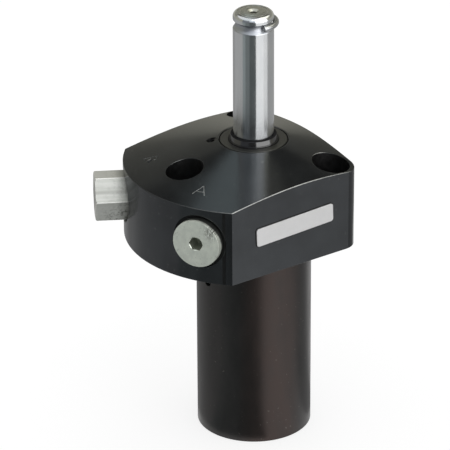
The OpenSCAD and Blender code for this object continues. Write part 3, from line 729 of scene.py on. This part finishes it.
# port letters stamped by hand; points of their lines are away from the axis, then across
marks = {
    "strokeW": 0.36, "strokeDepth": 0.2, "deeper": 0.06,
    "A": {"angle": 24.35, "reach": 25.25, "twist": 7.7, "size": 3.5,
          "lines": (((-0.5, 0.0), (0.5, 0.45)), ((-0.5, 0.0), (0.5, -0.45)), ((0.16, 0.3), (0.16, -0.3)))},
    "B": {"angle": -26.5, "reach": 25.35, "twist": -8, "size": 3.3,
          "lines": (((-0.5, -0.3), (0.5, -0.3)), ((-0.5, -0.3), (-0.42, 0.14), (-0.22, 0.26), (-0.02, 0.1)),
                    ((-0.02, -0.3), (-0.02, 0.12)), ((-0.02, 0.1), (0.24, 0.32), (0.44, 0.16), (0.5, -0.3)))},
}


def strokeCutter(start, end, size, depth):
    # a V-shaped bar between two points of the letter
    first, last = Vector((*start, 0)) * size, Vector((*end, 0)) * size
    run = last - first
    deselectAll()
    bpy.ops.mesh.primitive_cube_add(size=1)
    bar = bpy.context.object
    startEdit(bar, "FACE")
    pick(bar, "faces", lambda face: face.normal.z < -0.5)
    bpy.ops.transform.resize(value=(0.96, 0.15, 1), center_override=(0, 0, 0))
    toObjectMode()
    bar.scale = ((run.length + marks["strokeW"] * 0.6) * mm, marks["strokeW"] * mm, 2 * depth * mm)
    bar.rotation_euler.z = math.atan2(run.y, run.x)
    bar.location = (first + last) / 2 * mm
    bpy.ops.object.transform_apply()
    return bar


for letter in ("A", "B"):
    mark = marks[letter]
    surfaceZ = body["topZ"] - (mark["reach"] - body["landR"]) * slope
    onCone = (upright(mark["angle"], mark["reach"], surfaceZ) @ Matrix.Rotation(-math.pi / 2, 4, "Z")
              @ Matrix.Rotation(math.atan(slope), 4, "Y") @ aroundAxis(mark["twist"]))
    strokes = [pair for line in mark["lines"] for pair in zip(line, line[1:])]
    for order, (start, end) in enumerate(strokes):
        bar = strokeCutter(start, end, mark["size"], marks["strokeDepth"] * (1 + marks["deeper"] * order))
        coat(bar, *flangedBody.data.materials)
        assign(bar, stampSlot, lambda face: True)
        place(bar, onCone)
        combine(flangedBody, bar, "DIFFERENCE")
print("port letters stamped")

mouthCount = breakEdges(flangedBody, holeMouth, body["holeEdge"], 2, wornSheenSlot)
print("hole mouths", mouthCount, "edges")


def inHole(face):
    spot = centre(face)
    if face.material_index in (wornSheenSlot, stampSlot):
        return False
    for angle in body["boltAngles"]:
        if fromBolt(spot, angle) < body["boltSeatR"] + 0.03 and abs(spot.z) > 0.01:
            return abs(face.normal.z) < 0.5 or spot.z < body["boltSeatZ"] + 0.1
    for angle in body["portAngles"]:
        gap, out = fromPort(spot, angle)
        if gap < body["spotR"] - 0.05 and out > 20:
            return True
    if offAxis(lockAxis.inverted() @ (spot * mm) / mm) < body["lockR"] + 0.03 and spot.z > body["rimZ"] - 4:
        return True
    return offAxis(spot) < body["pocketR"] + 0.03 and spot.z > body["footZ"] + 0.1


# hole walls and the bore get the near-black oxide as painted shade
assign(flangedBody, shadedBoreSlot, inHole)
assign(flangedBody, barrelSlot, lambda face: centre(face).z < -0.02 and face.material_index != shadedBoreSlot)
finishPiece(flangedBody, "cylinder", "black_steel", "cylinder_body")

# Plunger
rod = {
    "r": 5.0, "spigotR": 4.0, "spigotEdge": 0.3, "footZ": -31.4, "shoulderZ": -21.6, "shoulderEdge": 0.2,
    "shaftEdge": ((0, 53.62), (0.015, 53.7), (0.04, 53.75)), "satinZ": (53.7, 56.1), "satinR": (4, 4.98),
    "flankCentre": (6.995, 55.497), "flankR": 2.67, "floorCentre": (5.153, 55.169), "floorR": 0.8,
    "capEdgeZ": 56.12, "lipRound": 0.12, "capRound": 1.3, "top": 58.0,
    "centreR": 0.95, "centreEdge": 0.5, "centreFloor": 55.0, "centreTip": 0.4,
    "faceRing": 3.4, "ringHalf": 0.12, "ringDepth": 0.06,
    "ballPathR": 5.9, "camR": 1.56, "camTop": 8.491, "camDrop": 8.4, "camTurn": 90, "camSteps": 24,
    "camAngles": (90, 210, 330),
}


def grooveSection():
    # shaft edge, long lower flank, tight floor under the clip and the underside of the cap
    shaftEdge = [(rod["r"] - inset, height) for inset, height in rod["shaftEdge"]]
    flank = arc(*rod["flankCentre"], rod["flankR"], 220, 190, 10)
    floor = arc(*rod["floorCentre"], rod["floorR"], 190, 130, 10)
    capEdge = arc(rod["r"] - rod["lipRound"], rod["capEdgeZ"], rod["lipRound"], -45, 0, 3)
    return shaftEdge + flank + floor[1:] + capEdge


capRim = arc(rod["r"] - rod["capRound"], rod["top"] - rod["capRound"], rod["capRound"], 0, 90, 8)
centreMouth = rod["centreR"] + rod["centreEdge"]
plungerPiece = turned("chromedPlunger", [
    (rod["spigotR"] - rod["spigotEdge"], rod["footZ"]), (rod["spigotR"], rod["footZ"] + rod["spigotEdge"]),
    (rod["spigotR"], rod["shoulderZ"]), (rod["r"] - rod["shoulderEdge"], rod["shoulderZ"]),
    (rod["r"], rod["shoulderZ"] + rod["shoulderEdge"])] + grooveSection() + capRim + [
    (rod["faceRing"] + rod["ringHalf"], rod["top"]), (rod["faceRing"], rod["top"] - rod["ringDepth"]),
    (rod["faceRing"] - rod["ringHalf"], rod["top"]),
    (centreMouth + 0.06, rod["top"]), (centreMouth, rod["top"] - 0.04),
    (rod["centreR"], rod["top"] - rod["centreEdge"]),
    (rod["centreR"], rod["centreFloor"] + rod["centreTip"]), (0.06, rod["centreFloor"])], 128)
coat(plungerPiece, hardChrome, capSteel, grooveSteel)


def onCap(face):
    spot = centre(face)
    onTop = face.normal.z > 0.97 and spot.z > rod["top"] - 0.2
    return onTop or (offAxis(spot) < 2.0 and spot.z > rod["centreFloor"] - 0.1)


def inGroove(face):
    spot = centre(face)
    (low, high), (inside, outside) = rod["satinZ"], rod["satinR"]
    return low < spot.z < high and inside < offAxis(spot) < outside


assign(plungerPiece, 1, onCap)
assign(plungerPiece, 2, inGroove)


def tubeAlong(name, spots, radius, roundness):
    # a round bar along a line of points
    path = bpy.data.curves.new(name, "CURVE")
    path.dimensions = "3D"
    path.bevel_depth = radius * mm
    path.bevel_resolution = roundness
    path.use_fill_caps = True
    spline = path.splines.new("POLY")
    spline.points.add(len(spots) - 1)
    for point, (x, y, z) in zip(spline.points, spots):
        point.co = (x * mm, y * mm, z * mm, 1)
    tube = bpy.data.objects.new(name, path)
    bpy.context.collection.objects.link(tube)
    selectOnly(tube)
    bpy.ops.object.convert(target="MESH")
    tube = bpy.context.object
    startEdit(tube, "FACE")
    selectMesh()
    bpy.ops.mesh.remove_doubles(threshold=mergeGap)
    turnOutwards()
    return tube


def ballSpot(angle, share):
    # where a ball sits on its helix, from the upper end to the lower
    turn = math.radians(angle - 90 - rod["camTurn"] * share)
    return (rod["ballPathR"] * math.cos(turn), rod["ballPathR"] * math.sin(turn),
            rod["camTop"] - rod["camDrop"] * share)


for angle in rod["camAngles"]:
    helix = [ballSpot(angle, step / rod["camSteps"]) for step in range(rod["camSteps"] + 1)]
    combine(plungerPiece, tubeAlong("cam", helix, rod["camR"], 5), "DIFFERENCE")
    for end in (helix[0], helix[-1]):
        deselectAll()
        bpy.ops.mesh.primitive_uv_sphere_add(segments=32, ring_count=16, radius=rod["camR"] * mm,
                                             location=[side * mm for side in end])
        combine(plungerPiece, bpy.context.object, "DIFFERENCE")
finishPiece(plungerPiece, "plunger", "chromed_rod", "plunger")

# Cage spring, drawn as one fixed coil; the real spring is squeezed as the cage goes down
spring = {"r": 5.91, "wireR": 0.4, "footZ": -7.559, "headZ": 5.311, "endRise": 0.88, "turns": 3.5,
          "steps": 36, "fixedZ": -7.99, "keep": 0.41}


def springHeight(turn):
    # one closed turn at each end, and the open turns share the rest of the height
    openRise = spring["headZ"] - spring["footZ"] - 2 * spring["endRise"]
    closed = min(turn, 1) + max(turn - spring["turns"] - 1, 0)
    opened = min(max(turn - 1, 0) / spring["turns"], 1)
    return spring["endRise"] * closed + openRise * opened


coilSpots = []
for step in range(round((spring["turns"] + 2) * spring["steps"]) + 1):
    turn = step / spring["steps"]
    coilSpots.append((spring["r"] * math.cos(2 * math.pi * turn), spring["r"] * math.sin(2 * math.pi * turn),
                      spring["footZ"] + springHeight(turn)))
springCoil = tubeAlong("springCoil", coilSpots, spring["wireR"], 3)
coat(springCoil, springWire)
finishPiece(springCoil, "cylinder", "spring_steel", "cage_spring")
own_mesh(springCoil)

# Wire clip in the groove
clip = {"wireR": 0.75, "pathR": 5.341, "shift": 0.1, "z": 55.2, "span": 200, "angle": 180, "endRound": 0.42}
deselectAll()
bpy.ops.mesh.primitive_circle_add(vertices=24, radius=clip["wireR"] * mm,
                                  location=(0, -clip["pathR"] * mm, 0), rotation=(0, math.pi / 2, 0))
wireClip = bpy.context.object
wireClip.name = "wireClip"
bpy.ops.object.transform_apply()
bpy.ops.object.mode_set(mode="EDIT")
selectMesh()
bpy.ops.mesh.spin(steps=96, angle=math.radians(clip["span"]), center=(0, 0, 0), axis=(0, 0, 1))
selectMesh()
bpy.ops.mesh.remove_doubles(threshold=mergeGap)
bpy.ops.mesh.fill_holes(sides=0)
turnOutwards()
breakEdges(wireClip, lambda edge: sharp(edge, 60), clip["endRound"], 4)
coat(wireClip, springWire)
spun = sum((vert.co for vert in wireClip.data.vertices), Vector()) / len(wireClip.data.vertices)
spunAngle = math.degrees(math.atan2(spun.x, -spun.y))
place(wireClip, upright(clip["angle"], clip["shift"], clip["z"]) @ aroundAxis(-spunAngle))
finishPiece(wireClip, "plunger", "spring_steel", "arm_clip")

# Gland and scraper lip round the plunger
gland = {"topZ": 24.341, "footZ": 11.341, "r": 8.47, "gap": 0.26, "gapDepth": 0.8, "rimEdge": 0.06,
         "boreR": 5.04, "lipSeatR": 6.19, "lipSeatZ": 22.141, "seatEdge": 0.16, "seatBreak": 0.04,
         "ringGroove": (13.041, 14.941), "ringFloorR": 6.77, "sealGroove": (19.191, 21.691), "sealR": 6.94}
ringLow, ringHigh = gland["ringGroove"]
sealLow, sealHigh = gland["sealGroove"]
gapR, gapZ = gland["r"] - gland["gap"], gland["topZ"] - gland["gapDepth"]
glandRing = turned("glandRing", [
    (gland["boreR"], gland["footZ"]), (gland["r"], gland["footZ"]), (gland["r"], ringLow),
    (gland["ringFloorR"], ringLow), (gland["ringFloorR"], ringHigh), (gland["r"], ringHigh),
    (gland["r"], gapZ), (gapR, gapZ), (gapR, gland["topZ"] - gland["rimEdge"]),
    (gapR - gland["rimEdge"], gland["topZ"]), (gland["lipSeatR"] + gland["seatEdge"], gland["topZ"]),
    (gland["lipSeatR"] + gland["seatBreak"], gland["topZ"] - gland["seatBreak"]),
    (gland["lipSeatR"], gland["topZ"] - gland["seatEdge"]), (gland["lipSeatR"], gland["lipSeatZ"]),
    (gland["boreR"], gland["lipSeatZ"]), (gland["boreR"], sealHigh), (gland["sealR"], sealHigh),
    (gland["sealR"], sealLow), (gland["boreR"], sealLow)], 128, True)
coat(glandRing, glandOxide, shadedBoreOxide)
# the gland's sides and the narrow gap round its top get the near-black oxide as painted shade
assign(glandRing, 1, lambda face: centre(face).z < gland["topZ"] - 0.1)
finishPiece(glandRing, "cylinder", "gland_steel", "gland_nut")

# half section of the lip: bore, outer wall with a rounded shoulder, sloping lip and its rounded top
lip = {"section": ((5.04, 22.141), (6.06, 22.141), (6.16, 22.241), (6.16, 24.541), (6.1, 24.681),
                   (5.96, 24.741), (5.943, 24.801), (5.68, 25.751), (5.66, 25.821), (5.56, 25.981),
                   (5.44, 26.041), (5.12, 26.041), (5.04, 25.941))}
scraperLip = turned("scraperLip", lip["section"], 128, True)
coat(scraperLip, lipRubber, lipTop)
assign(scraperLip, 1, lambda face: face.normal.z > 0.5)
finishPiece(scraperLip, "cylinder", "black_rubber", "rod_wiper")

# Port plugs
plug = {"angle": 30, "shankR": 3.94, "tip": 0.4, "reach": 7.5, "headR": 6.0, "headH": 2.5, "edge": 0.07,
        "underEdge": 0.1, "socketAcross": 3.2, "socketDepth": 3.6, "mouthIn": (0.32, 0.26),
        "mouthOut": (0.06, 0.12)}
shankTip = [(plug["shankR"] - plug["tip"], -plug["reach"]), (plug["shankR"], -plug["reach"] + plug["tip"])]


def hexCorner(across):
    return across / 2 / math.cos(math.pi / 6)


def hexBar(across, length, fromZ, turn):
    deselectAll()
    bpy.ops.mesh.primitive_cylinder_add(vertices=6, radius=hexCorner(across) * mm, depth=length * mm,
                                        location=(0, 0, (fromZ + length / 2) * mm),
                                        rotation=(0, 0, math.radians(turn)))
    bpy.ops.object.transform_apply()
    return bpy.context.object


socketR = hexCorner(plug["socketAcross"])
edgeArc = arc(plug["headR"] - plug["edge"], plug["headH"] - plug["edge"], plug["edge"], 0, 90, 4)
socketPlug = turned("socketPlug", shankTip + [
    (plug["shankR"], 0), (plug["headR"] - plug["underEdge"], 0),
    (plug["headR"], plug["underEdge"])] + edgeArc, 96)
socketFloor = plug["headH"] - plug["socketDepth"]
combine(socketPlug, hexBar(plug["socketAcross"], plug["socketDepth"] + 1, socketFloor, 90), "DIFFERENCE")
(inR, inZ), (outR, outZ) = plug["mouthIn"], plug["mouthOut"]
mouth = turned("cutter", [(socketR - inR, plug["headH"] - inZ), (socketR + outR, plug["headH"] + outZ)], 48)
combine(socketPlug, mouth, "DIFFERENCE")
coat(socketPlug, zincFront, socketShade)


def inSocket(face):
    spot = centre(face)
    return offAxis(spot) < socketR and -2 < spot.z < plug["headH"] - 0.13


assign(socketPlug, 1, inSocket)
place(socketPlug, outwards(plug["angle"], body["spotReach"], body["portZ"]))
finishPiece(socketPlug, "cylinder", "zinc_steel", "front_port_plug")

# the crown's steps are in from the corners and down from the end
hexHead = {"angle": -30, "across": 10.9, "length": 8.0, "turn": 8, "cornerRound": 0.16,
           "crown": ((-1, 1.35), (0.23, 0.12), (0.41, 0.03), (0.55, 0))}
cornerR = hexCorner(hexHead["across"])
hexPlug = hexBar(hexHead["across"], hexHead["length"], 0, 90 + hexHead["turn"])
hexPlug.name = "hexPlug"
breakEdges(hexPlug, lambda edge: along(edge).z > hexHead["length"] / 2, hexHead["cornerRound"], 3)
envelope = turned("envelope", [(cornerR + 1, -1)] + [
    (cornerR - inset, hexHead["length"] - drop) for inset, drop in hexHead["crown"]], 96)
combine(hexPlug, envelope, "INTERSECT")
combine(hexPlug, turned("shank", shankTip + [(plug["shankR"], 1)], 96), "UNION")
coat(hexPlug, zincSide)
place(hexPlug, outwards(hexHead["angle"], body["spotReach"], body["portZ"]))
finishPiece(hexPlug, "cylinder", "zinc_steel", "side_port_plug")

# Bare silver plate on the side flat, on a thin dark backing whose margin round the plate is a painted shadow
plate = {"length": 22.7, "height": 4.7, "thick": 0.35, "cornerR": 0.7, "edge": 0.1, "y": -4.2, "z": 11.05,
         "turn": 2, "shadowBacking": 0.12, "shadowBackingEdge": 0.03, "margin": 0.2}


def roundedSlab(margin, thick, edgeWidth):
    # lies against the flat, with round corners and a broken front edge
    deselectAll()
    length, height = plate["length"] + 2 * margin, plate["height"] + 2 * margin
    bpy.ops.mesh.primitive_cube_add(size=1, location=(thick / 2 * mm, 0, 0),
                                    scale=(thick * mm, length * mm, height * mm))
    slab = bpy.context.object
    bpy.ops.object.transform_apply()
    breakEdges(slab, lambda edge: along(edge).x > thick / 2, plate["cornerR"] + margin, 8)
    breakEdges(slab, lambda edge: sharp(edge, 60) and middle(edge).x > thick / 2, edgeWidth, 2)
    coat(slab, plateSilver, shadedBoreOxide)
    return slab


silverPlate = roundedSlab(0, plate["thick"], plate["edge"])
silverPlate.name = "silverPlate"
# the dark margin of the backing round the plate is a painted shadow gap
shadowBacking = roundedSlab(plate["margin"], plate["shadowBacking"], plate["shadowBackingEdge"])
assign(shadowBacking, 1, lambda face: True)
selectOnly(silverPlate)
shadowBacking.select_set(True)
bpy.ops.object.join()
place(silverPlate, Matrix.Translation(Vector((body["halfWidth"], plate["y"], plate["z"])) * mm)
      @ Matrix.Rotation(math.radians(plate["turn"]), 4, "X"))
finishPiece(silverPlate, "cylinder", "plate_silver", "name_plate")
print("pieces ready")

# Camera at the photograph's view
view = {"azimuth": 54.31, "away": 864.0, "height": 420.99, "lens": 311.85, "sensor": 36,
        "aimZ": 0.864, "aimShift": -7.076, "roll": -0.301}


def sideways(degrees):
    # level direction from the object, turned to the right of the camera's side
    return aroundAxis(view["azimuth"] + degrees) @ Vector((0, -1, 0))


aim = (sideways(90) * view["aimShift"] + up * view["aimZ"]) * mm
deselectAll()
bpy.ops.object.camera_add(location=(sideways(0) * view["away"] + up * view["height"]) * mm)
camera = bpy.context.object
facing = (aim - camera.location).to_track_quat("-Z", "Y").to_matrix().to_4x4()
camera.rotation_euler = (facing @ Matrix.Rotation(math.radians(view["roll"]), 4, "Z")).to_euler()
camera.data.lens = view["lens"]
camera.data.sensor_width = view["sensor"]
camera.data.clip_start = 0.05
camera.data.clip_end = 20
bpy.context.scene.camera = camera

# Studio: pale floor, soft lamps, and cards that only reflections see
studio = {
    "floorZ": -52.4, "floorSize": 6.0, "ambient": 0.75, "floorGlow": 0.74, "floorPaint": 0.36,
    "floorPlain": 0.8, "cardStep": 3,
    "cards": (
        # from and to angle from the camera's side, positive to the right; both ends of the section as
        # reach and height in mm; shade and tint
        ("frontFloor", -22, 14.5, (16, -52.3), (900, -52.3), 0.115, "teal"),
        ("frontLeftFloor", -45, -22, (16, -52.25), (900, -52.25), 0.2, "teal"),
        ("nearLeftFloor", -62, -45, (16, -52.2), (900, -52.2), 0.32, "teal"),
        ("leftFloor", -125, -62, (16, -52.15), (900, -52.15), 0.45, "plain"),
        ("rearLeftFloor", -180, -125, (16, -52.1), (900, -52.1), 0.36, "plain"),
        ("rightFloor", 58, 84, (16, -52.1), (900, -52.1), 0.85, "plain"),
        ("rearRightFloor", 84, 125, (16, -52.05), (900, -52.05), 0.4, "plain"),
        ("backNearFloor", 125, 180, (16, -52.05), (130, -52.05), 0.85, "plain"),
        ("backFloor", 125, 180, (130, -52.05), (900, -52.05), 0.4, "plain"),
        ("frontWallLow", -22, 12, (900, -52), (900, 240), 0.07, "plain"),
        ("frontWallHigh", -22, 12, (900, 240), (900, 700), 0.95, "blue"),
        ("frontLeftWall", -62, -22, (900, -52), (900, 700), 0.22, "blue"),
        ("leftWall", -125, -62, (900, -52), (900, 700), 0.42, "warm"),
        ("rearWallLow", 84, 235, (900, -52), (900, 260), 0.5, "warm"),
        ("rearWallMiddle", 84, 235, (900, 260), (900, 700), 0.3, "warm"),
        ("rearCeiling", 140, 220, (900, 700), (100, 1500), 0.06, "warm"),
        ("rearGlow", 171, 180, (640, 650), (540, 740), 0.5, "warm"),
        ("frontCeiling", -90, 25, (900, 700), (450, 1300), 1.0, "cool"),
        ("window", 12, 80, (900, 0), (900, 700), 3.0, "plain"),
        ("windowTop", 25, 85, (900, 700), (450, 1300), 3.2, "plain"),
        ("rightCeiling", 85, 138, (900, 700), (450, 1300), 1.8, "warm"),
    ),
    "tints": {"plain": (1.0, 1.0, 1.0), "warm": (1.0, 0.98, 0.84), "cool": (0.94, 1.0, 1.03),
              "blue": (0.90, 0.95, 1.05), "teal": (0.90, 1.0, 1.0)},
    # angle to the right, elevation, distance, width and height in mm, power and tint
    "lamps": (("rearSoftbox", 186, 49, 900, 150, 260, 0.12, (0.86, 1.0, 1.02)),
              ("frontSoftbox", 8, 58, 900, 420, 260, 0.5, (1.0, 1.0, 1.0))),
    "lampAimZ": 20,
}
unseenBy = ("visible_camera", "visible_diffuse", "visible_transmission", "visible_volume_scatter",
            "visible_shadow")


def emptyTree(owner):
    owner.use_nodes = True
    owner.node_tree.nodes.clear()
    return owner.node_tree


def surface(shader, kind="ShaderNodeOutputMaterial"):
    node(shader, kind, {"Surface": shader.outputs[0]})


def shownRays(tree):
    # camera, glossy and transmission rays see the pale backdrop
    rays = node(tree, "ShaderNodeLightPath").outputs
    return maths("MAXIMUM", rays["Is Camera Ray"],
                 maths("MAXIMUM", rays["Is Glossy Ray"], rays["Is Transmission Ray"]))


def sweptCard(name, fromAngle, toAngle, start, end, shade, tint):
    # a card swept round the object from one edge of a plane
    deselectAll()
    bpy.ops.mesh.primitive_plane_add(size=1)
    card = bpy.context.object
    card.name = name
    bpy.ops.object.mode_set(mode="EDIT")
    bpy.ops.mesh.select_mode(type="VERT")
    mesh = bmesh.from_edit_mesh(card.data)
    mesh.verts.ensure_lookup_table()
    bmesh.ops.delete(mesh, geom=mesh.verts[2:], context="VERTS")
    for vert, (reach, height) in zip(mesh.verts, (start, end)):
        vert.co = (sideways(fromAngle) * reach + up * height) * mm
    bmesh.update_edit_mesh(card.data)
    selectMesh()
    steps = max(4, int((toAngle - fromAngle) / studio["cardStep"]))
    # the spin turns the other way round when no window is open
    bpy.ops.mesh.spin(steps=steps, angle=math.radians(fromAngle - toAngle), center=(0, 0, 0), axis=(0, 0, 1))
    toObjectMode()
    material = bpy.data.materials.new(name)
    tone = rgb(*studio["tints"][tint])
    surface(node(emptyTree(material), "ShaderNodeEmission", {"Color": tone, "Strength": shade}))
    coat(card, material)
    for ray in unseenBy:
        setattr(card, ray, False)


for card in studio["cards"]:
    sweptCard(*card)

deselectAll()
bpy.ops.mesh.primitive_plane_add(size=studio["floorSize"], location=(0, 0, studio["floorZ"] * mm))
floor = bpy.context.object
floor.name = "floor"
floorMaterial = bpy.data.materials.new("floorPaint")
floorTree = emptyTree(floorMaterial)
paint = node(floorTree, "ShaderNodeBsdfDiffuse", {"Color": rgb(*[studio["floorPaint"]] * 3)})
glow = node(floorTree, "ShaderNodeEmission", {"Color": rgb(1, 1, 1), "Strength": studio["floorGlow"]})
both = node(floorTree, "ShaderNodeAddShader", {0: paint.outputs[0], 1: glow.outputs[0]})
plain = node(floorTree, "ShaderNodeBsdfDiffuse", {"Color": rgb(*[studio["floorPlain"]] * 3)})
surface(node(floorTree, "ShaderNodeMixShader",
             {0: shownRays(floorTree), 1: plain.outputs[0], 2: both.outputs[0]}))
coat(floor, floorMaterial)

world = bpy.data.worlds.new("studio")
bpy.context.scene.world = world
worldTree = emptyTree(world)
strength = spread(shownRays(worldTree), 0.0, 1.0, studio["ambient"], 1.0)
sky = node(worldTree, "ShaderNodeBackground", {"Color": rgb(1, 1, 1), "Strength": strength})
surface(sky, "ShaderNodeOutputWorld")


def softbox(name, angle, elevation, distance, width, height, power, tint):
    deselectAll()
    lean = math.radians(elevation)
    spot = (sideways(angle) * math.cos(lean) + up * math.sin(lean)) * distance * mm
    bpy.ops.object.light_add(type="AREA", location=spot)
    lamp = bpy.context.object
    lamp.name = name
    lamp.data.shape = "RECTANGLE"
    lamp.data.size = width * mm
    lamp.data.size_y = height * mm
    lamp.data.energy = power
    lamp.data.color = tint
    lamp.rotation_euler = (up * studio["lampAimZ"] * mm - spot).to_track_quat("-Z", "Y").to_euler()


for lamp in studio["lamps"]:
    softbox(*lamp)
bpy.context.scene.view_settings.view_transform = "Standard"
print("studio ready")
